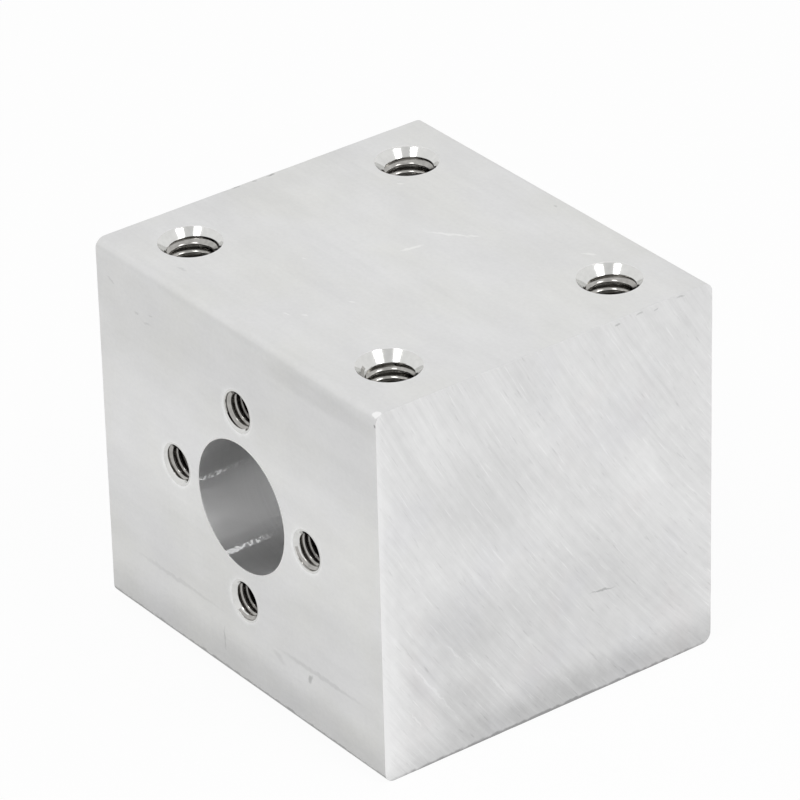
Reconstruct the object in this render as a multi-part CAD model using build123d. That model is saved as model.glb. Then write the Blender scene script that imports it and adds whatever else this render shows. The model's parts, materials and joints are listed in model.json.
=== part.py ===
from build123d import *
import math
import os

# A housing block that carries a flanged lead screw nut: a short length of extruded
# aluminium bar, sawn at both ends and machined with a bore and eight tapped holes.
#
# Frame, in millimetres: the origin is where the screw's axis meets the face that the
# nut is bolted to. +Y runs along the screw into the block, +Z is up, towards the face
# that the carriage is bolted to, and X runs along the bar, from one sawn end to the other.

# Bar
bar_depth = 30.5                # along the screw, from the nut's face to the back face
bar_height = 30.5               # from the base to the carriage face
bar_edge_radius = 0.8           # rounding that the extruded bar has along its four long edges
screw_below_carriage = 15.0     # from the carriage face down to the screw's axis

# Sawn ends, each from the screw's axis: the block is cut a little off centre
far_end = 17.3
near_end = 16.7

# Bore for the nut's hub and the screw, right through the block
bore_diameter = 10.5

# Tapped holes round the bore, for the nut's flange: M3 x 0.5
nut_circle_diameter = 16.0
nut_hole_count = 4
nut_tap_drill = 2.5
nut_mouth_diameter = 3.1        # the burr is just broken, to the thread's outer diameter
nut_drill_depth = 10.0

# Tapped holes in the carriage face: M4 x 0.7, countersunk
carriage_spacing_x = 24.0
carriage_spacing_y = 20.0
carriage_first_row = 5.1        # from the nut's face to the first row
carriage_off_axis = 0.4         # the pattern is drilled this far off the screw's axis, to the far end
carriage_tap_drill = 3.3
carriage_mouth_diameter = 4.9
carriage_drill_depth = 12.0

# Tool angles, in degrees
countersink_angle = 90.0
drill_point_angle = 118.0


def tapped_hole(drill_diameter, mouth_diameter, drill_depth):
    """The space that the drill and the countersink leave, with its mouth in the XY plane
    and its depth along -Z. The thread itself is finer than this model shows."""
    drill_radius = drill_diameter / 2
    mouth_radius = mouth_diameter / 2
    cone_depth = (mouth_radius - drill_radius) / math.tan(math.radians(countersink_angle / 2))
    point_depth = drill_radius / math.tan(math.radians(drill_point_angle / 2))
    half_section = Polyline(
        (0, 0),
        (mouth_radius, 0),
        (drill_radius, -cone_depth),
        (drill_radius, -drill_depth),
        (0, -drill_depth - point_depth),
        close=True,
    )
    return revolve(Plane.XZ * make_face(half_section), Axis.Z)


def bar():
    """The sawn length of bar. Its rounded section lies in the plane of the far end."""
    far_plane = Plane(origin=(-far_end, 0, 0), x_dir=(0, 1, 0), z_dir=(1, 0, 0))
    centre_of_section = (bar_depth / 2, screw_below_carriage - bar_height / 2)
    section = Pos(*centre_of_section) * RectangleRounded(bar_depth, bar_height, bar_edge_radius)
    return extrude(far_plane * section, far_end + near_end)


def nut_openings():
    """The bore and the circle of tapped holes round it, cut in from the nut's face."""
    nut_face = Plane(origin=(0, 0, 0), x_dir=(1, 0, 0), z_dir=(0, -1, 0))
    bore = extrude(nut_face * Circle(bore_diameter / 2), -bar_depth)
    hole = tapped_hole(nut_tap_drill, nut_mouth_diameter, nut_drill_depth)
    holes = nut_face * PolarLocations(nut_circle_diameter / 2, nut_hole_count) * hole
    return [bore, *holes]


def carriage_openings():
    """The rectangle of countersunk tapped holes, cut down from the carriage face."""
    middle_row = carriage_first_row + carriage_spacing_y / 2
    pattern_centre = (-carriage_off_axis, middle_row, screw_below_carriage)
    hole = tapped_hole(carriage_tap_drill, carriage_mouth_diameter, carriage_drill_depth)
    places = GridLocations(carriage_spacing_x, carriage_spacing_y, 2, 2)
    return Plane(origin=pattern_centre) * places * hole


os.makedirs("parts", exist_ok=True)
housing = bar() - nut_openings() - carriage_openings()
export_step(housing, "parts/housing.step")
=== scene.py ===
"""The finished look of a lead screw nut housing: the machined block, its studio and its camera.

Lengths are millimetres in the part's own frame unless a name ends in _m. The frame's origin is where
the screw's axis meets the nut's face, +Y runs into the block along the screw, and +Z is up.
"""

import json
import logging
import math
from dataclasses import dataclass, field
from enum import Enum, IntEnum

import bmesh
import bpy
import numpy as np
from mathutils import Matrix, Vector


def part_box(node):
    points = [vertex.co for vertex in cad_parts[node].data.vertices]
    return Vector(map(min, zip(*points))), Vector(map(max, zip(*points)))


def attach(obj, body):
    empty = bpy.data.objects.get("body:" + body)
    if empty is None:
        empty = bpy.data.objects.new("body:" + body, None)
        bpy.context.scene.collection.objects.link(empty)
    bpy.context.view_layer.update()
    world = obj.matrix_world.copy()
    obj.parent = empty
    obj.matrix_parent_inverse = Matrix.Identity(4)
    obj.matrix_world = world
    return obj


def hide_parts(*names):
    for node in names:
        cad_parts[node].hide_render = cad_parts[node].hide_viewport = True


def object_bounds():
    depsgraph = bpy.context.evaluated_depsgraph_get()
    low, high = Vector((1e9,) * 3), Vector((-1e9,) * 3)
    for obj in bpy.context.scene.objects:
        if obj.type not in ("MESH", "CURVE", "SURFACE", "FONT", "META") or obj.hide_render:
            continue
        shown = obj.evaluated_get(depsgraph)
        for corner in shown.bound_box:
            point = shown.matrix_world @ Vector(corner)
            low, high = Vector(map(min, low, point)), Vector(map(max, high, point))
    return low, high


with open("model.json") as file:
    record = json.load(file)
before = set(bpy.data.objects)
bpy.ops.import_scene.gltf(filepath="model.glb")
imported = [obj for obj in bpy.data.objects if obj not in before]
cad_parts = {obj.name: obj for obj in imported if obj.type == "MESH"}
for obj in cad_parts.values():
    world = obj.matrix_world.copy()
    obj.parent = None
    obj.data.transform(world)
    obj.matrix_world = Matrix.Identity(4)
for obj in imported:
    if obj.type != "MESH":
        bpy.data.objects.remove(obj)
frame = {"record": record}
CAD_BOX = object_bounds()

MM = 0.001
ROUNDING = 1e-9  # a span that is a whole number of steps but for this gets no step more
MERGE_DISTANCE = 0.0004  # points of neighbouring grids that lie closer than this are one
FLOOR_CLEARANCE = 0.02  # keeps the table's top out of the plane of the block's base
LOG = logging.getLogger("housing")

Tree = bpy.types.NodeTree
Socket = bpy.types.NodeSocket


class Finish(IntEnum):
    """The finish of a surface. Its value is the material slot that the surface's faces use."""

    EXTRUDED = 0
    SAWN = 1
    BORED = 2
    TAPPED = 3
    COUNTERSUNK = 4


class Side(Enum):
    """A flat side of the bar, each with its outward direction. The first four follow the bar's outline."""

    NUT = (0.0, -1.0, 0.0)
    TOP = (0.0, 0.0, 1.0)
    BACK = (0.0, 1.0, 0.0)
    BASE = (0.0, 0.0, -1.0)
    NEAR_END = (1.0, 0.0, 0.0)

    @property
    def outward(self) -> np.ndarray:
        """The side's outward unit vector."""
        return np.array(self.value)

    @property
    def axes(self) -> tuple[int, int]:
        """The numbers of the two coordinates that run across and along the side, in rising order."""
        first, second = (i for i in range(3) if not self.value[i])
        return first, second

    @property
    def along(self) -> int:
        """The number of the coordinate that runs along the side's outline."""
        return self.axes[1]


def linear(colour: str) -> tuple[float, float, float, float]:
    """Turns an sRGB hex colour into linear light.

    Args:
        colour: Six hex digits after a hash sign.

    Returns:
        Linear red, green and blue, with an alpha of 1.
    """
    levels = [int(colour[i : i + 2], 16) / 255 for i in (1, 3, 5)]
    return (*(v / 12.92 if v <= 0.04045 else ((v + 0.055) / 1.055) ** 2.4 for v in levels), 1.0)


def add_node(tree: Tree, kind: str, inputs: dict | None = None, **settings: str) -> bpy.types.Node:
    """Adds a node with its settings, its constant inputs and its links.

    Args:
        tree: The node tree.
        kind: The shader node's type, without its first two words.
        inputs: For each input, by name or number, a constant or the output socket that feeds it.
        settings: The node's own properties.

    Returns:
        The new node.
    """
    node = tree.nodes.new("ShaderNode" + kind)
    for name, value in settings.items():
        setattr(node, name, value)
    for name, value in (inputs or {}).items():
        if isinstance(value, Socket):
            tree.links.new(value, node.inputs[name])
        else:
            node.inputs[name].default_value = value
    return node


def calculate(tree: Tree, operation: str, *values: float | Socket) -> Socket:
    """Adds a math node that works out the operation on the values, and gives its result."""
    return add_node(tree, "Math", dict(enumerate(values)), operation=operation).outputs[0]


def spread(tree: Tree, value: Socket, start: float, end: float, low: float | Socket = 0.0,
           high: float = 1.0, soft: bool = True) -> Socket:
    """Spreads a value: low where it is at its start or before, high where it is at its end or beyond.

    Args:
        tree: The node tree.
        value: The value.
        start: Where the result is low.
        end: Where the result is high.
        low: The result at the start.
        high: The result at the end.
        soft: Whether the way between them eases in and out.

    Returns:
        The result.
    """
    inputs = {"Value": value, "From Min": start, "From Max": end, "To Min": low, "To Max": high}
    kind = "SMOOTHSTEP" if soft else "LINEAR"
    return add_node(tree, "MapRange", inputs, interpolation_type=kind).outputs[0]


def blank_tree(owner: bpy.types.Material | bpy.types.World) -> Tree:
    """Switches on the nodes of a material or a world, and empties its tree."""
    owner.use_nodes = True
    owner.node_tree.nodes.clear()
    return owner.node_tree


def add_object(name: str, data: bpy.types.ID) -> bpy.types.Object:
    """Adds an object with the given data to the scene."""
    added = bpy.data.objects.new(name, data)
    bpy.context.scene.collection.objects.link(added)
    return added


def grid_faces(index: np.ndarray) -> np.ndarray:
    """The corners of each face of a grid of point numbers, of shape (rows - 1, columns - 1, 4)."""
    return np.stack([index[:-1, :-1], index[:-1, 1:], index[1:, 1:], index[1:, :-1]], axis=-1)


def divided(breaks: list[float], step: float) -> np.ndarray:
    """Divides each interval between neighbouring breaks evenly, in steps no longer than the given one.

    Args:
        breaks: Places that have to be stations, in any order.
        step: The longest step.

    Returns:
        The stations, in rising order.
    """
    marks = np.unique(np.round(breaks, 6))
    spans = [
        np.linspace(a, b, max(1, math.ceil((b - a) / step - ROUNDING)), endpoint=False)
        for a, b in zip(marks[:-1], marks[1:])
    ]
    return np.concatenate([*spans, marks[-1:]])


def smooth_noise(places: np.ndarray, period: float, seed: int) -> np.ndarray:
    """Even noise from 0 to 1 along a closed line: random knots a period apart, joined by cosine ramps.

    Args:
        places: Distances along the line.
        period: Distance between knots.
        seed: Seed of the random knots.

    Returns:
        The noise at each place.
    """
    length = places.max()
    count = max(2, round(length / period))
    knots = np.random.default_rng(seed).random(count)
    position = places / length * count
    low = np.floor(position).astype(int)
    ramp = (1 - np.cos(np.pi * (position - low))) / 2
    return knots[low % count] * (1 - ramp) + knots[(low + 1) % count] * ramp


@dataclass
class Skin:
    """The closed surface of one solid piece, gathered as grids of points that share their borders."""

    points: list[np.ndarray] = field(default_factory=list)
    quads: list[np.ndarray] = field(default_factory=list)
    finishes: list[np.ndarray] = field(default_factory=list)
    count: int = 0

    def add(self, grid: np.ndarray, finish: Finish, keep: np.ndarray | None = None) -> None:
        """Adds a grid of points as four-sided faces, which look along the columns' way times the rows'.

        Args:
            grid: Points by row and column, of shape (rows, columns, 3).
            finish: The faces' finish.
            keep: For each face, whether it is kept. All are kept where this is left out.
        """
        rows, columns = grid.shape[:2]
        index = self.count + np.arange(rows * columns).reshape(rows, columns)
        faces = grid_faces(index)
        faces = faces.reshape(-1, 4) if keep is None else faces[keep]
        self.points.append(grid.reshape(-1, 3))
        self.quads.append(faces)
        self.finishes.append(np.full(len(faces), int(finish)))
        self.count += rows * columns

    def build(self, name: str, sharp_degrees: float) -> bpy.types.Object:
        """Writes the gathered grids into one mesh, merged along the borders that they share.

        Args:
            name: The new object's name.
            sharp_degrees: Edges that turn by more than this stay sharp.

        Returns:
            The object, at the origin.
        """
        mesh = bpy.data.meshes.new(name)
        vertices = np.concatenate(self.points) * MM
        quads = np.concatenate(self.quads)
        mesh.vertices.add(len(vertices))
        mesh.vertices.foreach_set("co", vertices.ravel())
        mesh.loops.add(quads.size)
        mesh.loops.foreach_set("vertex_index", quads.ravel())
        mesh.polygons.add(len(quads))
        mesh.polygons.foreach_set("loop_start", np.arange(0, quads.size, 4))
        mesh.polygons.foreach_set("material_index", np.concatenate(self.finishes))
        mesh.update(calc_edges=True)
        work = bmesh.new()
        work.from_mesh(mesh)
        bmesh.ops.remove_doubles(work, verts=work.verts, dist=MERGE_DISTANCE * MM)
        work.to_mesh(mesh)
        work.free()
        mesh.validate(verbose=False)
        mesh.polygons.foreach_set("use_smooth", np.ones(len(mesh.polygons), bool))
        mesh.set_sharp_from_angle(angle=math.radians(sharp_degrees))
        return add_object(name, mesh)


@dataclass(frozen=True)
class Bar:
    """The sawn length of extruded bar: a square section with rounded long edges, carried along X."""

    far_x: float
    near_x: float
    depth: float
    low_z: float
    high_z: float
    edge_radius: float = 0.8
    step: float = 0.46
    corner_steps: int = 8

    def section(
        self, breaks: dict[Side, list[float]]
    ) -> tuple[np.ndarray, np.ndarray, dict[Side, np.ndarray]]:
        """The section's outline: up the nut's face, back over the top, down the back and home along the base.
        The flats are joined by quarter circles.

        Args:
            breaks: For each side, the places along it that have to be stations.

        Returns:
            The points of the closed outline in the YZ plane, their outward normals, and for each side the
            outline's numbers of its stations.
        """
        r = self.edge_radius
        spans = {Side.NUT: (self.low_z + r, self.high_z - r), Side.TOP: (r, self.depth - r)}
        spans |= {Side.BACK: spans[Side.NUT], Side.BASE: spans[Side.TOP]}
        fixed = {Side.NUT: 0.0, Side.TOP: self.high_z, Side.BACK: self.depth, Side.BASE: self.low_z}
        turns = np.linspace(0, math.pi / 2, self.corner_steps + 1)[1:-1]
        points, normals, numbers, start = [], [], {}, 0
        for side, start_angle in zip(Side, (math.pi, math.pi / 2, 0.0, -math.pi / 2)):
            flat = divided([*spans[side], *breaks.get(side, [])], self.step)
            if side in (Side.BACK, Side.BASE):
                flat = flat[::-1]
            level = np.full(len(flat), fixed[side])
            pair = (level, flat) if side.along == 2 else (flat, level)
            points.append(np.stack(pair, axis=1))
            normals.append(np.tile(side.outward[1:], (len(flat), 1)))
            angles = start_angle - turns
            corner = np.stack([np.cos(angles), np.sin(angles)], axis=1)
            centre = points[-1][-1] - normals[-1][-1] * r
            points.append(centre + corner * r)
            normals.append(corner)
            numbers[side] = np.arange(start, start + len(flat))
            start += len(flat) + len(turns)
        outline, outward = np.concatenate(points), np.concatenate(normals)
        return np.vstack([outline, outline[:1]]), np.vstack([outward, outward[:1]]), numbers


@dataclass(frozen=True)
class Opening:
    """A hole's mouth in a flat side, inside a square window of the bar's grid."""

    side: Side
    x: float
    along: float
    window: float
    mouth_radius: float
    lip_width: float = 0.1
    lip_height: float = 0.018
    lip_peak: float = 0.3
    lip_finish: Finish = Finish.EXTRUDED

    @property
    def x_breaks(self) -> list[float]:
        """Where the window starts and ends along X."""
        return [self.x - self.window, self.x + self.window]

    @property
    def side_breaks(self) -> list[float]:
        """Where the window starts and ends along the side."""
        return [self.along - self.window, self.along + self.window]

    def centre(self, level: float) -> np.ndarray:
        """The middle of the mouth, on a side that lies at the given level."""
        place = np.array([self.x, level, level])
        place[self.side.along] = self.along
        return place

    def tunnel(self, centre: np.ndarray, angles: np.ndarray, radii: np.ndarray,
               depths: np.ndarray) -> np.ndarray:
        """Points round the hole's axis: its middle, moved out by the radius at the angle and in by the depth.

        Args:
            centre: The middle of the mouth.
            angles: Angles round the axis, anticlockwise as seen from outside.
            radii: Radii, which broadcast against the angles.
            depths: Depths under the side, which broadcast against the angles.

        Returns:
            The points, of the broadcast shape with 3 coordinates each.
        """
        first = np.array([1.0, 0.0, 0.0])
        second = np.cross(self.side.outward, first)
        radii, depths, angles = np.broadcast_arrays(radii, depths, angles)
        across = np.cos(angles)[..., None] * first + np.sin(angles)[..., None] * second
        return centre + radii[..., None] * across - depths[..., None] * self.side.outward

    def collar(self, skin: Skin, border: np.ndarray, centre: np.ndarray) -> np.ndarray:
        """Adds the flat ground from the window's border to the mouth, with the low lip that the tool raises.

        Args:
            skin: The surface to add to.
            border: The closed border of the window, anticlockwise as seen from outside.
            centre: The middle of the mouth.

        Returns:
            The angle of each border point round the hole, rising all the way round.
        """
        away = border - centre
        second = np.cross(self.side.outward, [1.0, 0.0, 0.0])
        angles = np.unwrap(np.arctan2(away @ second, away[:, 0]))
        reach = np.linalg.norm(away, axis=1)
        lip = self.mouth_radius + self.lip_width
        peak = self.mouth_radius + self.lip_peak * self.lip_width
        rings = np.outer((lip, peak, self.mouth_radius), np.ones_like(reach))
        radii = np.stack([reach, (reach + lip) / 2, *rings])
        depths = np.array([0, 0, 0, -self.lip_height, 0.0])[:, None]
        grid = self.tunnel(centre, angles, radii, depths)
        grid[0] = border
        skin.add(grid[:3], Finish.EXTRUDED)
        skin.add(grid[2:], self.lip_finish)
        return angles


@dataclass(frozen=True)
class ScrewBore(Opening):
    """The plain bore, right through the block, with a wall that a boring tool has left."""

    length: float = 30.5
    wall_steps: int = 14

    def wall(self, skin: Skin, centre: np.ndarray, angles: np.ndarray) -> None:
        """Adds the bore's wall as a cylinder from the nut's face to the back.

        Args:
            skin: The surface to add to.
            centre: The middle of the mouth.
            angles: The stations round the mouth.
        """
        depths = np.linspace(0, self.length, self.wall_steps + 1)[:, None]
        skin.add(self.tunnel(centre, angles, np.array(self.mouth_radius), depths), Finish.BORED)


@dataclass(frozen=True)
class TappedHole(Opening):
    """A blind hole: a countersunk or broken mouth, a right-hand thread, a drilled end and its point."""

    pitch: float = 0.7
    major_radius: float = 2.0
    drill_radius: float = 1.65
    drill_depth: float = 12.0
    tapped_depth: float = 8.4
    runout_turns: float = 1.5
    point_degrees: float = 118.0
    start_turn: float = 0.0

    def thread_profile(self) -> tuple[np.ndarray, np.ndarray]:
        """One turn of the thread. The tap leaves a rounded crest, and steep flanks that meet in a sharp root.

        Returns:
            The stations as shares of the pitch, and each one's cut, from 0 at the crest to 1 at the root.
        """
        half = np.array([0.0, 0.07, 0.13, 0.2, 0.46, 0.5])
        depth = np.array([0.0, 0.04, 0.13, 0.3, 1.0, 1.0])
        return np.concatenate([half, 1 - half[-2:0:-1]]), np.concatenate([depth, depth[-2:0:-1]])

    def wall(self, skin: Skin, centre: np.ndarray, angles: np.ndarray) -> None:
        """Adds the hole's wall. The rows of the threaded part follow the helix: a row's depth is its number
        of turns less the angle's share of one, times the pitch, so crest and root lie on whole rows. The
        radius is the thread's or the countersink's cone, whichever is larger.

        Args:
            skin: The surface to add to.
            centre: The middle of the mouth.
            angles: The stations round the mouth.
        """
        shares, cut = self.thread_profile()
        turns = math.ceil(self.tapped_depth / self.pitch) + 1
        first = math.floor(angles[0] / math.tau) - 1
        whole = np.arange(first, first + turns + 3)
        rows = (whole[:, None] + shares).ravel()
        deep = np.tile(cut, len(whole))[:, None]
        depth = (rows[:, None] + self.start_turn + angles / math.tau) * self.pitch
        depth = np.clip(depth, 0, self.tapped_depth)
        left = np.clip((self.tapped_depth - depth) / (self.runout_turns * self.pitch), 0, 1)
        thread = self.drill_radius + (self.major_radius - self.drill_radius) * deep * left
        cone = self.mouth_radius - depth
        on_cone = cone >= thread
        whole_face = on_cone[:-1, :-1] & on_cone[:-1, 1:] & on_cone[1:, 1:] & on_cone[1:, :-1]
        grid = self.tunnel(centre, angles, np.maximum(thread, cone), depth)
        skin.add(grid, Finish.COUNTERSUNK, whole_face)
        skin.add(grid, Finish.TAPPED, ~whole_face)
        point = self.drill_radius / math.tan(math.radians(self.point_degrees / 2))
        shares = np.array([1.0, 1.0, 0.55, 0.12, 0.0])
        levels = np.array([self.tapped_depth, *(self.drill_depth + point * (1 - shares[1:]))])
        radii = self.drill_radius * shares[:, None]
        skin.add(self.tunnel(centre, angles, radii, levels[:, None]), Finish.TAPPED)


@dataclass(frozen=True)
class SawnEnd:
    """A sawn end of the bar, flat but for the ragged edge that the saw leaves all round."""

    x: float
    facing: int
    seed: int
    edge_low: float = 0.006
    edge_high: float = 0.045
    edge_period: float = 0.9
    slow_periods: float = 5.0
    slow_share: float = 0.45
    rareness: float = 1.5

    def edge_drop(self, outline: np.ndarray) -> np.ndarray:
        """How far the end's edge is broken at each point of the section's outline: slow noise with finer
        noise in it, raised to a power that makes the deeper breaks rare."""
        steps = np.linalg.norm(np.diff(outline, axis=0), axis=1)
        places = np.concatenate([[0.0], np.cumsum(steps)])
        slow = smooth_noise(places, self.edge_period * self.slow_periods, self.seed)
        fine = smooth_noise(places, self.edge_period, self.seed + 1)
        noise = self.slow_share * slow + (1 - self.slow_share) * fine
        drop = self.edge_low + (self.edge_high - self.edge_low) * noise**self.rareness
        drop[-1] = drop[0]
        return drop

    def face(self, skin: Skin, outline: np.ndarray, normals: np.ndarray, drop: np.ndarray) -> None:
        """Adds the end's face as rings that follow the outline inwards and then close on the middle.

        Args:
            skin: The surface to add to.
            outline: The closed outline of the section.
            normals: The outline's outward normals.
            drop: How far the edge is broken at each point.
        """
        insets = np.array([0.0, 0.05, 0.14, 0.28, 0.6])
        left = np.array([1.0, 0.45, 0.12, 0.0, 0.0])
        shares = (0.75, 0.45, 0.15, 0.0)
        rings = [outline - normals * inset for inset in insets]
        middle = (outline.min(0) + outline.max(0)) / 2
        rings += [middle + (rings[-1] - middle) * share for share in shares]
        heights = [self.x - self.facing * drop * share for share in (*left, *[0.0] * len(shares))]
        grid = np.stack([np.column_stack([h, ring]) for h, ring in zip(heights, rings)])
        skin.add(grid if self.facing < 0 else grid[:, ::-1], Finish.SAWN)


@dataclass
class HousingBlock:
    """The housing, one solid block: a sawn bar with the screw's bore and eight tapped holes."""

    bar: Bar
    bore: ScrewBore
    nut_holes: list[TappedHole]
    carriage_holes: list[TappedHole]
    name: str = "housing_block"
    sharp_degrees: float = 34.0

    @classmethod
    def from_record(cls, record: dict, box: tuple[Vector, Vector]) -> "HousingBlock":
        """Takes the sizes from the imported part.

        Args:
            record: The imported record, whose mounts give the hole patterns.
            box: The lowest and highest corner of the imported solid, in metres.

        Returns:
            The block, ready to build.
        """
        low, high = (np.array(corner) / MM for corner in box)
        mounts = {mount["name"]: mount for mount in record["mounts"]}
        bar = Bar(low[0], high[0], high[1], low[2], high[2])
        bore = ScrewBore(
            Side.NUT, 0.0, 0.0, window=5.85, mouth_radius=mounts["screw_bore"]["dims"]["r_mm"],
            length=high[1], lip_width=0.07, lip_finish=Finish.COUNTERSUNK,
        )
        circle = mounts["nut_holes"]["dims"]
        radius = circle["pcd_mm"] / 2
        turns = np.arange(circle["count"]) * math.tau / circle["count"]
        # The tap starts each thread at a turn of its own.
        nut_holes = [
            TappedHole(
                Side.NUT, radius * math.cos(a), radius * math.sin(a), window=2.15, mouth_radius=1.55,
                pitch=0.5, major_radius=1.5, drill_radius=circle["hole_r_mm"], drill_depth=10.0,
                tapped_depth=6.5, start_turn=0.3 * i, lip_width=0.17, lip_height=0.03,
                lip_finish=Finish.COUNTERSUNK,
            )
            for i, a in enumerate(turns)
        ]
        rows = mounts["carriage_holes"]
        spacing, (x, y) = rows["dims"], (value / MM for value in rows["pos_m"][:2])
        half_x, half_y = spacing["spacing_x_mm"] / 2, spacing["spacing_y_mm"] / 2
        corners = ((-1, -1, 0.19), (-1, 1, 0.27), (1, -1, 0.51), (1, 1, 0.33))
        carriage_holes = [
            TappedHole(
                Side.TOP, x + sx * half_x, y + sy * half_y, window=3.2, mouth_radius=2.45,
                drill_radius=spacing["hole_r_mm"], start_turn=start_turn,
            )
            for sx, sy, start_turn in corners
        ]
        return cls(bar, bore, nut_holes, carriage_holes)

    def border(self, opening: Opening, grid: np.ndarray, xs: np.ndarray, stations: np.ndarray,
               numbers: np.ndarray, keep: np.ndarray) -> np.ndarray:
        """Cuts an opening's window out of the bar's grid.

        Args:
            opening: The opening.
            grid: The bar's points by outline number and X station.
            xs: The X stations.
            stations: The places of the side's stations along it.
            numbers: The outline's numbers of those stations.
            keep: The bar's mask of kept faces, which loses the window's.

        Returns:
            The closed border of the window, anticlockwise as seen from outside.
        """
        j0, j1 = (int(np.argmin(abs(xs - x))) for x in opening.x_breaks)
        i0, i1 = sorted(int(numbers[np.argmin(abs(stations - s))]) for s in opening.side_breaks)
        keep[i0:i1, j0:j1] = False
        low_i, high_i = np.full(j1 - j0, i0), np.full(j1 - j0, i1)
        low_j, high_j = np.full(i1 - i0, j0), np.full(i1 - i0, j1)
        i = np.concatenate([low_i, np.arange(i0, i1), high_i, np.arange(i1, i0, -1), [i0]])
        j = np.concatenate([np.arange(j0, j1), high_j, np.arange(j1, j0, -1), low_j, [j0]])
        return grid[i, j]

    def build(self) -> bpy.types.Object:
        """Builds the block's closed mesh: the bar's outline carried along X with windows cut out, a collar
        and a wall in each window, and the two sawn ends.

        Returns:
            The block's object.
        """
        bar, bore = self.bar, self.bore
        holes = [bore, *self.nut_holes, *self.carriage_holes]
        back = Opening(Side.BACK, bore.x, bore.along, bore.window, bore.mouth_radius)
        breaks = {side: [b for h in holes if h.side is side for b in h.side_breaks] for side in Side}
        breaks[Side.BACK] = breaks[Side.NUT]
        outline, normals, numbers = bar.section(breaks)
        near, far = SawnEnd(bar.near_x, 1, seed=11), SawnEnd(bar.far_x, -1, seed=23)
        xs = divided([bar.far_x, bar.near_x, *(b for h in holes for b in h.x_breaks)], bar.step)
        grid = np.empty((len(outline), len(xs), 3))
        grid[:, :, 0] = xs
        grid[:, :, 1:] = outline[:, None, :]
        for end, column in ((far, 0), (near, -1)):
            drop = end.edge_drop(outline)
            grid[:, column, 0] = end.x - end.facing * drop
        keep = np.ones((len(outline) - 1, len(xs) - 1), bool)
        skin = Skin()
        levels = {Side.NUT: 0.0, Side.TOP: bar.high_z, Side.BACK: bar.depth}
        for hole in [*holes, back]:
            stations = outline[numbers[hole.side], hole.side.along - 1]
            edge = self.border(hole, grid, xs, stations, numbers[hole.side], keep)
            centre = hole.centre(levels[hole.side])
            angles = hole.collar(skin, edge, centre)
            if hole is not back:
                hole.wall(skin, centre, angles)
        skin.add(grid, Finish.EXTRUDED, keep)
        for end in (near, far):
            end.face(skin, outline, normals, end.edge_drop(outline))
        return skin.build(self.name, self.sharp_degrees)


@dataclass(frozen=True)
class Mark:
    """A scratch, speck, nick or cloud on a flat side, or a patch of painted light or shade, drawn as a
    stretched soft spot.
    """

    side: Side
    across: float
    along: float
    length: float
    width: float
    turn: float
    strength: float
    reach: float = 0.6
    core: float = 0.35

    def mask(self, tree: Tree, place: Socket, level: float) -> Socket:
        """Adds the nodes that draw the mark: 1 in its core, falling to 0 on an ellipsoid round it.

        Args:
            tree: The node tree.
            place: Object coordinates in millimetres.
            level: The level of the mark's side.

        Returns:
            The mark's mask.
        """
        first, second = self.side.axes
        middle, radii, turn = [level] * 3, [self.reach] * 3, [0.0] * 3
        middle[first], middle[second] = self.across, self.along
        radii[first], radii[second] = self.length / 2, self.width / 2
        turn[3 - first - second] = math.radians(-self.turn if second - first == 2 else self.turn)
        local = add_node(
            tree, "Mapping",
            {"Vector": place, "Location": middle, "Rotation": turn, "Scale": radii}, vector_type="TEXTURE",
        )
        away = add_node(tree, "VectorMath", {0: local.outputs[0]}, operation="LENGTH")
        return spread(tree, away.outputs["Value"], 1.0, self.core)


@dataclass(frozen=True)
class Grain:
    """One layer of noise in a finish: the size of its grain in millimetres along each pattern axis."""

    size: tuple[float, float, float]
    weight: float
    detail: float = 2.0
    low: float = 0.0
    high: float = 1.0

    def layer(self, tree: Tree, place: Socket) -> Socket:
        """Adds the layer's nodes: noise on the place divided by the grain's size, spread from low to high.

        Args:
            tree: The node tree.
            place: Pattern coordinates in millimetres.

        Returns:
            The layer, from 0 to 1.
        """
        scale = [1 / s for s in self.size]
        local = add_node(tree, "Mapping", {"Vector": place, "Scale": scale}).outputs[0]
        inputs = {"Vector": local, "Scale": 1.0, "Detail": self.detail}
        noise = add_node(tree, "TexNoise", inputs).outputs[0]
        if (self.low, self.high) == (0.0, 1.0):
            return noise
        return spread(tree, noise, self.low, self.high)


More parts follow.
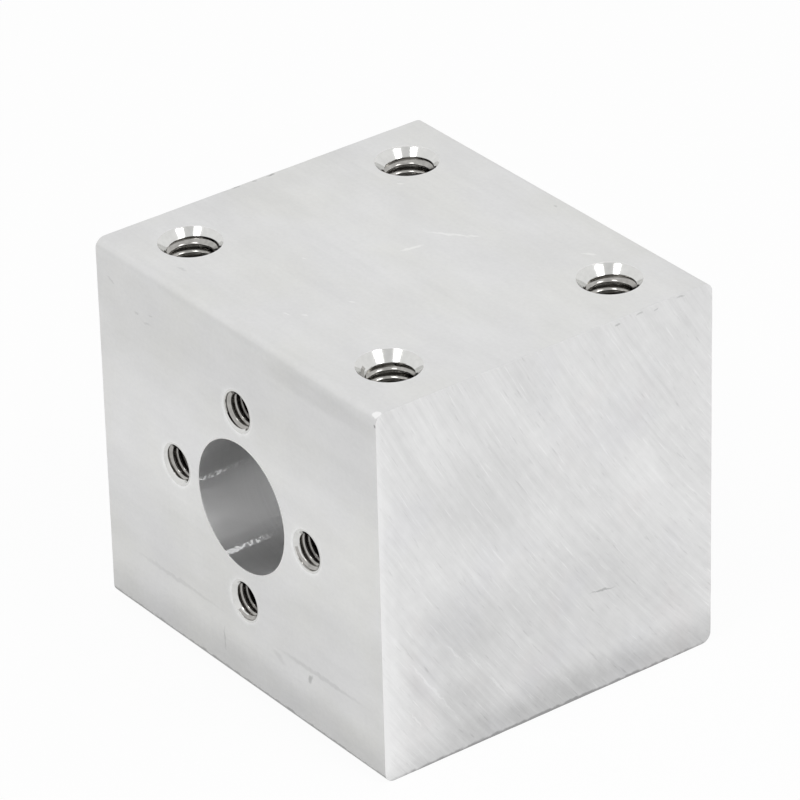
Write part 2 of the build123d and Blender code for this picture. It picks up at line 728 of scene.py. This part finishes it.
@dataclass(frozen=True)
class Metal:
    """Bare aluminium. A finish says how it was cut, and its layers vary it from a dark to a light tone."""

    name: str
    dark: str
    light: str
    roughness: float
    middle: float = 0.5
    layers: tuple[Grain, ...] = ()
    relief: tuple[Grain, ...] = ()
    relief_height: float = 0.0
    tints: tuple[tuple[str, Grain], ...] = ()
    marks: tuple[Mark, ...] = ()
    levels: dict[Side, float] = field(default_factory=dict)
    wobble: float = 0.5
    wobble_scale: float = 1.6

    def pattern(self, tree: Tree, place: Socket) -> Socket:
        """The coordinates that the layers read. They are the object's own unless a finish bends them."""
        return place

    def features(self, tree: Tree, place: Socket, tone: Socket) -> Socket:
        """Adds each mark's mask to the tone, times its strength. Fine noise wobbles the marks' outlines.

        Args:
            tree: The node tree.
            place: Object coordinates in millimetres.
            tone: The layers' tone.

        Returns:
            The tone with the marks.
        """
        if not self.marks:
            return tone
        inputs = {"Vector": place, "Scale": self.wobble_scale, "Detail": 3.0}
        noise = add_node(tree, "TexNoise", inputs).outputs[1]
        shift = {0: noise, 1: [self.wobble] * 3, 2: place}
        wobbly = add_node(tree, "VectorMath", shift, operation="MULTIPLY_ADD").outputs[0]
        centred = {0: wobbly, 1: [self.wobble / 2] * 3}
        wobbly = add_node(tree, "VectorMath", centred, operation="SUBTRACT").outputs[0]
        for mark in self.marks:
            mask = mark.mask(tree, wobbly, self.levels[mark.side])
            tone = calculate(tree, "MULTIPLY_ADD", mask, mark.strength, tone)
        return tone

    def gloss(self, tree: Tree, tone: Socket) -> Socket | float:
        """The roughness, which is even unless a finish varies it with its tone."""
        return self.roughness

    def total(self, tree: Tree, place: Socket, layers: tuple[Grain, ...], start: float) -> Socket:
        """Adds up layers: the start, plus each layer's distance from its middle times its weight.

        Args:
            tree: The node tree.
            place: Pattern coordinates in millimetres.
            layers: The layers.
            start: The sum's value where every layer is at its middle.

        Returns:
            The sum.
        """
        value = start - sum(0.5 * layer.weight for layer in layers)
        for layer in layers:
            value = calculate(tree, "MULTIPLY_ADD", layer.layer(tree, place), layer.weight, value)
        return value

    def material(self) -> bpy.types.Material:
        """Builds the material.

        Returns:
            The material, with its base colour, roughness and relief set or driven by the layers.
        """
        material = bpy.data.materials.new(self.name)
        tree = blank_tree(material)
        source = add_node(tree, "TexCoord").outputs["Object"]
        place = add_node(tree, "Mapping", {"Vector": source, "Scale": [1 / MM] * 3}).outputs[0]
        pattern = self.pattern(tree, place)
        tone = self.features(tree, place, self.total(tree, pattern, self.layers, self.middle))
        mix = {"Factor": tone, 6: linear(self.dark), 7: linear(self.light)}
        colour = add_node(tree, "Mix", mix, data_type="RGBA").outputs[2]
        for shade, grain in self.tints:
            amount = calculate(tree, "MULTIPLY", grain.layer(tree, place), grain.weight)
            mix = {"Factor": amount, 6: colour, 7: linear(shade)}
            colour = add_node(tree, "Mix", mix, data_type="RGBA", blend_type="MULTIPLY").outputs[2]
        inputs = {"Base Color": colour, "Metallic": 1.0, "Roughness": self.gloss(tree, tone)}
        if self.relief:
            height = self.total(tree, pattern, self.relief, 0.5)
            bump = {"Height": height, "Strength": 1.0, "Distance": self.relief_height * MM}
            inputs["Normal"] = add_node(tree, "Bump", bump).outputs[0]
        metal = add_node(tree, "BsdfPrincipled", inputs)
        add_node(tree, "OutputMaterial", {"Surface": metal.outputs[0]})
        return material


@dataclass(frozen=True)
class SawnAluminium(Metal):
    """Saw-cut: the large arcs of a circular blade's teeth, with torn dashes, and edges rubbed bright."""

    blade_radius: float = 160.0
    blade_degrees: float = 33.9
    face_centre: tuple[float, float] = (15.25, -0.25)
    bright_edge: float = 0.7
    edge_strength: float = 0.1

    def pattern(self, tree: Tree, place: Socket) -> Socket:
        """Polar coordinates about the blade's axis: the way along the arc, the radius, and X.

        Args:
            tree: The node tree.
            place: Object coordinates in millimetres.

        Returns:
            The pattern coordinates in millimetres.
        """
        angle = math.radians(self.blade_degrees)
        y, z = self.face_centre
        axis_y, axis_z = y + self.blade_radius * math.cos(angle), z + self.blade_radius * math.sin(angle)
        flat = add_node(
            tree, "Mapping",
            {"Vector": place, "Location": (0.0, -axis_y, -axis_z), "Scale": (0.0, 1.0, 1.0)},
        ).outputs[0]
        radius = add_node(tree, "VectorMath", {0: flat}, operation="LENGTH").outputs["Value"]
        parts = add_node(tree, "SeparateXYZ", {0: flat}).outputs
        turn = calculate(tree, "ARCTAN2", parts[1], parts[2])
        way = calculate(tree, "MULTIPLY", turn, self.blade_radius)
        across = add_node(tree, "SeparateXYZ", {0: place}).outputs[0]
        return add_node(tree, "CombineXYZ", {0: way, 1: radius, 2: across}).outputs[0]

    def features(self, tree: Tree, place: Socket, tone: Socket) -> Socket:
        """Adds the marks, and the strip along the nut's face where the edge is rubbed bright."""
        tone = super(SawnAluminium, self).features(tree, place, tone)
        depth = add_node(tree, "SeparateXYZ", {0: place}).outputs[1]
        rubbed = spread(tree, depth, 0.0, self.bright_edge, 1.0, 0.0)
        return calculate(tree, "MULTIPLY_ADD", rubbed, self.edge_strength, tone)


@dataclass(frozen=True)
class PaintedStreak:
    """A streak of painted reflection along the bore's wall, at an angle round the screw's axis from +X
    towards +Z.
    """

    degrees: float
    half_width: float
    strength: float
    sparkle: float = 0.0
    depth: float = 60.0
    core: float = 0.4


@dataclass(frozen=True)
class BoredAluminium(Metal):
    """Bored: fine turned rings, and streaks of painted reflection that run along the wall."""

    streaks: tuple[PaintedStreak, ...] = ()
    sparkle_grain: Grain = Grain((0.3, 0.24, 0.3), 1.0, 3.0, 0.46, 0.58)
    streak_roughness: float = 1.0
    streak_tone_from: float = 1.1
    streak_tone_to: float = 1.7

    def gloss(self, tree: Tree, tone: Socket) -> Socket:
        """Rougher where a painted streak lifts the tone above 1, so that it catches the light from the mouth.
        """
        return spread(tree, tone, self.streak_tone_from, self.streak_tone_to, self.roughness, self.streak_roughness, False)

    def features(self, tree: Tree, place: Socket, tone: Socket) -> Socket:
        """Adds each streak of painted reflection to the tone: full in its core, gone at its half width and at
        its depth, and broken by its sparkle."""
        inward = add_node(tree, "SeparateXYZ", {0: place}).outputs[1]
        for streak in self.streaks:
            inputs = {"Vector": place, "Angle": math.radians(streak.degrees)}
            turned = add_node(tree, "VectorRotate", inputs, rotation_type="Y_AXIS").outputs[0]
            parts = add_node(tree, "SeparateXYZ", {0: turned}).outputs
            off = calculate(tree, "ABSOLUTE", calculate(tree, "ARCTAN2", parts[2], parts[0]))
            edge = math.radians(streak.half_width)
            mask = spread(tree, off, streak.core * edge, edge, 1.0, 0.0)
            mask = spread(tree, inward, 0.0, streak.depth, mask, 0.0, False)
            if streak.sparkle:
                sparkle = self.sparkle_grain.layer(tree, place)
                share = calculate(tree, "MULTIPLY_ADD", sparkle, streak.sparkle, 1 - streak.sparkle)
                mask = calculate(tree, "MULTIPLY", mask, share)
            tone = calculate(tree, "MULTIPLY_ADD", mask, streak.strength, tone)
        return tone


@dataclass(frozen=True)
class GreyCard:
    """A grey card above the camera, which mirrors as a darker strip in the countersinks."""

    azimuth: float = 58.0
    elevation: float = 61.0
    width_m: float = 0.2
    height_m: float = 0.24
    radiance: float = 0.8
    distance_m: float = 0.5

    def build(self, target: Vector) -> None:
        """Builds the card, facing the target.

        Args:
            target: The point that it faces, in metres.
        """
        away = direction(self.azimuth, self.elevation)
        turn = (-away).to_track_quat("Z", "Y")
        w, h = self.width_m / 2, self.height_m / 2
        corners = [target + away * self.distance_m + turn @ Vector(c) for c in
                   ((-w, -h, 0.0), (w, -h, 0.0), (w, h, 0.0), (-w, h, 0.0))]
        mesh = bpy.data.meshes.new("grey card")
        mesh.from_pydata(corners, [], [(0, 1, 2, 3)])
        material = bpy.data.materials.new("plain grey card")
        tree = blank_tree(material)
        glow = add_node(tree, "Emission", {"Color": linear("#FFFFFF"), "Strength": self.radiance})
        add_node(tree, "OutputMaterial", {"Surface": glow.outputs[0]})
        mesh.materials.append(material)
        card = add_object("grey_card", mesh)


@dataclass(frozen=True)
class Softbox:
    """A softbox aimed at the block. At azimuth 0 it stands before the nut's face, at 90 by the near end."""

    name: str
    azimuth: float
    elevation: float
    width_m: float
    height_m: float
    radiance: float
    distance_m: float = 0.6

    def build(self, target: Vector) -> None:
        """Adds the lamp. Its power is the radiance times the area times pi.

        Args:
            target: The point that it is aimed at, in metres.
        """
        lamp = bpy.data.lights.new(self.name, "AREA")
        lamp.shape = "RECTANGLE"
        lamp.size, lamp.size_y = self.width_m, self.height_m
        lamp.energy = self.radiance * self.width_m * self.height_m * math.pi
        away = direction(self.azimuth, self.elevation)
        stand = add_object(self.name, lamp)
        stand.location = target + away * self.distance_m
        stand.rotation_mode = "QUATERNION"
        stand.rotation_quaternion = (-away).to_track_quat("-Z", "Y")


def direction(azimuth: float, elevation: float) -> Vector:
    """The unit vector from the object at an azimuth and an elevation, in degrees."""
    a, e = math.radians(azimuth), math.radians(elevation)
    return Vector((math.sin(a) * math.cos(e), -math.cos(a) * math.cos(e), math.sin(e)))


@dataclass(frozen=True)
class Studio:
    """A white table top with nothing behind it, an even pale room and softboxes."""

    floor_z: float
    softboxes: tuple[Softbox, ...]
    card: GreyCard
    floor_radius_m: float = 1.6
    room: str = "#FFFFFF"
    room_level: float = 0.66
    floor_colour: str = "#F7F7F7"
    plain_share_seen: float = 0.93
    plain_share_mirrored: float = 0.7
    floor_sides: int = 64

    def shares(self, tree: Tree, seen: float, mirrored: float) -> Socket:
        """Adds up a share for rays from the camera and a share for rays off metal or through glass.

        Args:
            tree: The node tree.
            seen: The share for rays straight from the camera.
            mirrored: The share for glossy and transmission rays.

        Returns:
            The share for the ray in hand.
        """
        path = add_node(tree, "LightPath").outputs
        total = calculate(tree, "MULTIPLY", path["Is Camera Ray"], seen)
        for ray in ("Is Glossy Ray", "Is Transmission Ray"):
            total = calculate(tree, "MULTIPLY_ADD", path[ray], mirrored, total)
        return total

    def build(self, target: Vector) -> None:
        """Builds the world, the floor and the lamps.

        Args:
            target: The point that the lamps are aimed at, in metres.
        """
        world = bpy.data.worlds.new("studio")
        bpy.context.scene.world = world
        tree = blank_tree(world)
        white = {"Color": linear(self.room)}
        room = add_node(tree, "Background", white | {"Strength": self.room_level})
        plain = add_node(tree, "Background", white | {"Strength": 1.0})
        share = self.shares(tree, 1.0, 1.0)
        both = add_node(tree, "MixShader", {0: share, 1: room.outputs[0], 2: plain.outputs[0]})
        add_node(tree, "OutputWorld", {"Surface": both.outputs[0]})
        self.floor()
        for light in (*self.softboxes, self.card):
            light.build(target)

    def floor(self) -> None:
        """Builds the floor as a disc of rings, with a material that is partly plain white to the camera. It
        is clear from below, so that the block's base can be looked at."""
        turns = np.linspace(0, math.tau, self.floor_sides + 1)
        radii = np.array([0.0, 0.1, 0.4, self.floor_radius_m])[:, None]
        x, y = radii * np.cos(-turns), radii * np.sin(-turns)
        grid = np.stack([x, y, np.full_like(x, self.floor_z)], axis=-1)
        faces = grid_faces(np.arange(x.size).reshape(x.shape)).reshape(-1, 4)
        mesh = bpy.data.meshes.new("floor")
        mesh.from_pydata(grid.reshape(-1, 3).tolist(), [], faces.tolist())
        material = bpy.data.materials.new("matt white table")
        tree = blank_tree(material)
        matt = add_node(tree, "BsdfDiffuse", {"Color": linear(self.floor_colour)})
        plain = add_node(tree, "Emission", {"Color": linear("#FFFFFF"), "Strength": 1.0})
        share = self.shares(tree, self.plain_share_seen, self.plain_share_mirrored)
        both = add_node(tree, "MixShader", {0: share, 1: matt.outputs[0], 2: plain.outputs[0]})
        below = add_node(tree, "NewGeometry").outputs["Backfacing"]
        clear = add_node(tree, "BsdfTransparent")
        surface = add_node(tree, "MixShader", {0: below, 1: both.outputs[0], 2: clear.outputs[0]})
        add_node(tree, "OutputMaterial", {"Surface": surface.outputs[0]})
        mesh.materials.append(material)
        floor = add_object("floor", mesh)


@dataclass(frozen=True)
class Viewpoint:
    """The photograph's camera: a long lens that looks down on the nut's face, the top and the near end."""

    aim: tuple[float, float, float] = (-1.708, 15.897, 2.405)
    azimuth: float = 53.285
    elevation: float = 29.705
    roll: float = -1.498
    distance: float = 427.056
    lens: float = 259.75
    film: float = 36.0

    def build(self) -> None:
        """Adds the camera and makes it the scene's. It looks back along its direction and is rolled."""
        data = bpy.data.cameras.new("camera")
        data.lens, data.sensor_width = self.lens, self.film
        data.clip_start, data.clip_end = 0.01, 10.0
        camera = add_object("camera", data)
        back = direction(self.azimuth, self.elevation)
        turn = math.radians(self.azimuth)
        level = Vector((math.cos(turn), math.sin(turn), 0.0))
        side = Matrix.Rotation(math.radians(self.roll), 3, back) @ level
        axes = Matrix((side, back.cross(side), back)).transposed().to_4x4()
        camera.matrix_world = Matrix.Translation((Vector(self.aim) + back * self.distance) * MM) @ axes
        bpy.context.scene.camera = camera


def marks(side: Side, *spots: tuple[float, ...]) -> tuple[Mark, ...]:
    """The marks of one side, each from its across, along, length, width, turn, strength and reach."""
    return tuple(Mark(side, *spot) for spot in spots)


# Handling marks, with patches of painted light and shade, on the nut's face and the top.
HANDLING_MARKS_AND_PAINTED_LIGHT = marks(
    Side.NUT,
    # Painted light and shade: a paler band across the holes, darker bands along the base and under the
    # rounded top edge.
    (0.0, 1.5, 80.0, 17.0, 0.0, 0.12),
    (0.0, -15.5, 80.0, 9.0, 0.0, -0.23),
    (10.0, 13.5, 18.0, 2.4, 1.0, -0.11),
    # A thin dark line just above the base's rounding is painted contact shadow.
    (0.0, -15.04, 80.0, 0.56, 0.0, -0.5, 0.4),
    # Rubbed streaks, a nick, a hairline, a dot at the corner and specks near the top.
    (9.2, -10.1, 13.0, 0.5, 0.5, -0.16),
    (-8.5, -10.2, 14.0, 0.5, 0.0, -0.14),
    (4.1, -10.9, 2.2, 0.7, -20.0, -0.11),
    (7.9, -10.9, 1.2, 0.5, 60.0, -0.4),
    (-2.8, -12.5, 0.2, 2.6, 0.0, -0.25),
    (16.6, 14.1, 0.5, 0.4, 0.0, -0.9),
    (-12.3, 10.9, 0.9, 0.25, 12.0, -0.18),
    (-11.1, 10.5, 1.4, 0.22, 5.0, -0.16),
    (-10.5, 11.4, 0.7, 0.2, 20.0, -0.18),
    (-15.5, 12.3, 1.3, 0.25, -15.0, -0.18),
) + marks(
    Side.TOP,
    # The whole face a little paler towards the near end.
    (6.0, 15.0, 50.0, 34.0, 20.0, 0.03),
    (-16.6, 15.0, 5.0, 60.0, 0.0, -0.03),
    # Small white scratches, dark dashes along the far edge, two dark specks and a painted glint at the front
    # corner.
    (-1.1, 20.4, 4.6, 0.4, 38.0, 0.17),
    (0.2, 21.6, 1.2, 0.3, 30.0, 0.16),
    (-1.2, 17.0, 2.6, 0.45, 78.0, 0.16),
    (-5.0, 10.0, 0.6, 0.25, 20.0, 0.16),
    (2.5, 8.7, 0.6, 0.25, 40.0, 0.16),
    (0.9, 4.0, 0.9, 0.2, 10.0, 0.17),
    (1.9, 4.9, 0.7, 0.18, 25.0, 0.15),
    (7.8, 26.3, 1.6, 0.4, 35.0, 0.16),
    (-9.8, 22.5, 0.9, 0.3, 35.0, 0.15),
    (-17.15, 15.9, 0.3, 0.9, 0.0, -0.5),
    (-17.15, 12.8, 0.3, 0.7, 0.0, -0.4),
    (-17.1, 14.4, 0.25, 0.5, 0.0, -0.35),
    (0.4, 29.1, 0.7, 0.3, 0.0, -0.25),
    # A painted glint at the front corner.
    (16.4, 0.35, 0.9, 0.6, 20.0, 1.0),
    (-9.4, 2.2, 1.3, 0.35, 5.0, -0.15),
)

SAWN_MARKS_AND_PAINTED_SHADE = marks(
    Side.NEAR_END,
    # Darker towards the base, which is painted shade, paler beside the nut's face, and cloudy between.
    # Painted shade towards the base.
    (20.0, -16.3, 60.0, 9.5, 0.0, -0.38),
    (15.0, -9.0, 44.0, 18.0, 0.0, -0.15),
    (0.9, -10.5, 4.2, 18.0, 0.0, 0.11),
    (0.6, 0.0, 2.2, 40.0, 0.0, 0.06),
    (7.2, -4.6, 12.0, 7.5, -50.0, -0.13),
    (7.3, -12.0, 8.0, 6.5, -40.0, -0.15),
    (9.5, 5.6, 17.0, 10.0, -25.0, -0.09),
    (24.0, 1.8, 5.0, 6.0, 0.0, 0.05),
    # A dark curved hair, bright streaks low on the left, dark nicks in the top edge, and a dark
    # line at the base that is painted contact shadow.
    (20.1, -7.0, 2.9, 0.2, -8.0, -0.4),
    (3.6, -8.0, 5.0, 0.24, -58.0, 0.12),
    (5.2, -10.3, 5.5, 0.22, -56.0, 0.12),
    (8.2, -8.2, 4.0, 0.22, -55.0, 0.11),
    (10.5, -11.5, 5.0, 0.24, -54.0, 0.1),
    (6.4, -6.9, 2.8, 0.25, -56.0, 0.14),
    (2.9, -11.2, 2.2, 0.25, -57.0, 0.14),
    (21.7, 14.55, 0.7, 0.26, 0.0, -0.38),
    (23.7, 14.75, 0.8, 0.22, 0.0, -0.34),
    (25.2, 14.6, 0.5, 0.2, 8.0, -0.3),
    (27.5, 14.8, 1.1, 0.2, 0.0, -0.3),
    # Painted contact shadow along the base.
    (15.0, -15.65, 44.0, 1.0, 0.0, -0.9),
)

SMALL_HOLES = ((8.0, 0.0), (0.0, 8.0), (-8.0, 0.0), (0.0, -8.0))
# The face is rubbed bright round each small hole, where the burr was broken.
BRIGHT_RIMS = tuple(Mark(Side.NUT, x - 0.1, z - 0.1, 4.2, 4.2, 0.0, 0.8) for x, z in SMALL_HOLES)
# Each small hole is painted dark round its middle, 2.6 mm down: painted shade deep in the hole, with its
# cutting oil.
SMALL_HOLE_OIL_AND_PAINTED_SHADE = tuple(Mark(Side.NUT, x, z, 6.0, 6.0, 0.0, -1.0, 2.2) for x, z in SMALL_HOLES)


def finishes(levels: dict[Side, float]) -> dict[Finish, Metal]:
    """The block's finishes.

    Args:
        levels: The level of each marked side.

    Returns:
        The metal of each finish.
    """
    # Mill finish: a matte, faintly warm pale grey with soft clouds, and lines along the bar that the die
    # draws. Real die lines lie under 0.1 mm apart, finer than a pixel here, and are drawn 0.5 mm apart.
    extruded = Metal(
        "mill finish extruded aluminium", "#A0A0A0", "#F0F0F0", 0.42,
        middle=0.67,
        layers=(
            Grain((22.0, 0.5, 0.5), 0.06),
            Grain((60.0, 4.0, 4.0), 0.08, 1.0),
            Grain((4.0, 2.0, 2.0), 0.18, 4.0),
            Grain((0.35, 0.3, 0.3), 0.09, 1.0),
        ),
        relief=(Grain((16.0, 0.4, 0.4), 1.0), Grain((1.2, 0.8, 0.8), 0.6, 3.0)),
        relief_height=0.02,
        tints=(("#FEFEFC", Grain((9.0, 7.0, 7.0), 1.0, 2.0, 0.35, 0.7)),),
        # The marks hold painted light and shade besides the handling marks.
        marks=HANDLING_MARKS_AND_PAINTED_LIGHT + BRIGHT_RIMS,
        levels=levels,
    )
    # Saw-cut: a rougher, more neutral grey with broad clouds, crossed by the teeth's shallow arcs, with short
    # torn dashes that read dark or bright. Single teeth leave finer marks, drawn 0.15 to 0.5 mm wide.
    sawn = SawnAluminium(
        "saw-cut aluminium", "#A0A0A0", "#F0F0F0", 0.5,
        middle=0.83,
        layers=(
            Grain((8.0, 0.45, 1.0), 0.26, 4.0),
            Grain((3.0, 0.16, 1.0), 0.15, 3.0),
            Grain((9.0, 5.0, 1.0), 0.18, 3.0),
            Grain((1.1, 0.9, 1.0), 0.14, 3.0),
            Grain((1.5, 0.18, 1.0), -0.26, 3.0, 0.6, 0.85),
            Grain((2.6, 0.14, 1.0), 0.2, 3.0, 0.6, 0.8),
        ),
        relief=(Grain((5.0, 0.45, 1.0), 1.0, 3.0), Grain((1.6, 0.2, 1.0), 0.5, 2.0)),
        relief_height=0.03,
        tints=(("#FDFDFE", Grain((7.0, 7.0, 7.0), 1.0, 2.0, 0.5, 0.7)),
               ("#FEFDFD", Grain((6.0, 5.0, 6.5), 1.0, 2.0, 0.52, 0.7))),
        # The marks hold painted shade towards the base besides the saw's marks.
        marks=SAWN_MARKS_AND_PAINTED_SHADE,
        levels=levels,
    )
    # Bored: smooth enough to mirror the dim inside of the bore in soft bands, with a paler band and two
    # brighter streaks of painted reflection.
    # A boring tool's rings lie about 0.1 mm apart, and are drawn 0.2 mm apart.
    bored = BoredAluminium(
        "bored aluminium", "#CACACA", "#FEFEFE", 0.36,
        middle=0.66,
        layers=(Grain((9.0, 0.25, 9.0), 0.15), Grain((1.2, 6.0, 1.2), 0.3, 3.0)),
        relief=(Grain((12.0, 0.2, 12.0), 1.0, 1.0),),
        relief_height=0.006,
        streaks=(
            # Painted reflections: a broad paler band, and two streaks, faint and bright, broken by sparkle.
            PaintedStreak(214.0, 41.0, 0.56),
            PaintedStreak(181.0, 3.0, 0.8, 0.9, 9.0),
            PaintedStreak(247.0, 3.4, 3.2, 0.82, 4.6),
        ),
    )
    # Tapped: cut with oil and half in shade; its dark tone is partly the oil and partly painted shade, so the
    # grooves read nearly black and only the crests glint. The threads of the four small holes are painted
    # darker beyond the first turns, as shade.
    tapped = Metal(
        "tapped aluminium", "#3C3A37", "#CCCAC6", 0.13,
        middle=0.62,
        layers=(Grain((0.4, 0.4, 0.4), 0.4),),
        marks=SMALL_HOLE_OIL_AND_PAINTED_SHADE,
        levels={Side.NUT: 2.6},
    )
    # Countersunk: fresh, fine cut cones, bright enough to mirror each softbox as a sharp white patch.
    countersunk = Metal(
        "countersunk aluminium", "#C4C4C2", "#E6E6E4", 0.12,
        layers=(Grain((0.5, 0.5, 0.5), 0.5),),
    )
    return dict(zip(Finish, (extruded, sawn, bored, tapped, countersunk)))


def main() -> None:
    """Builds the block, dresses it, and sets up the studio and the camera."""
    block = HousingBlock.from_record(frame["record"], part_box("housing"))
    piece = block.build()
    looks = finishes({Side.NUT: 0.0, Side.TOP: block.bar.high_z, Side.NEAR_END: block.bar.near_x})
    for finish in Finish:
        piece.data.materials.append(looks[finish].material())
    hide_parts("housing")
    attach(piece, "root")
    LOG.info("%s: %d faces", piece.name, len(piece.data.polygons))
    middle = (CAD_BOX[0] + CAD_BOX[1]) / 2
    softboxes = (
        Softbox(
            "softbox before the nut's face", azimuth=12.0, elevation=55.0, width_m=0.16, height_m=0.22,
            radiance=4.0,
        ),
        Softbox(
            "softbox before the near end", azimuth=105.0, elevation=52.0, width_m=0.19, height_m=0.22,
            radiance=4.0,
        ),
    )
    Studio(CAD_BOX[0].z - FLOOR_CLEARANCE * MM, softboxes, GreyCard()).build(middle)
    Viewpoint().build()
    bpy.context.scene.view_settings.view_transform = "Standard"


if __name__ == "__main__":
    logging.basicConfig(level=logging.INFO, format="%(message)s")
    main()
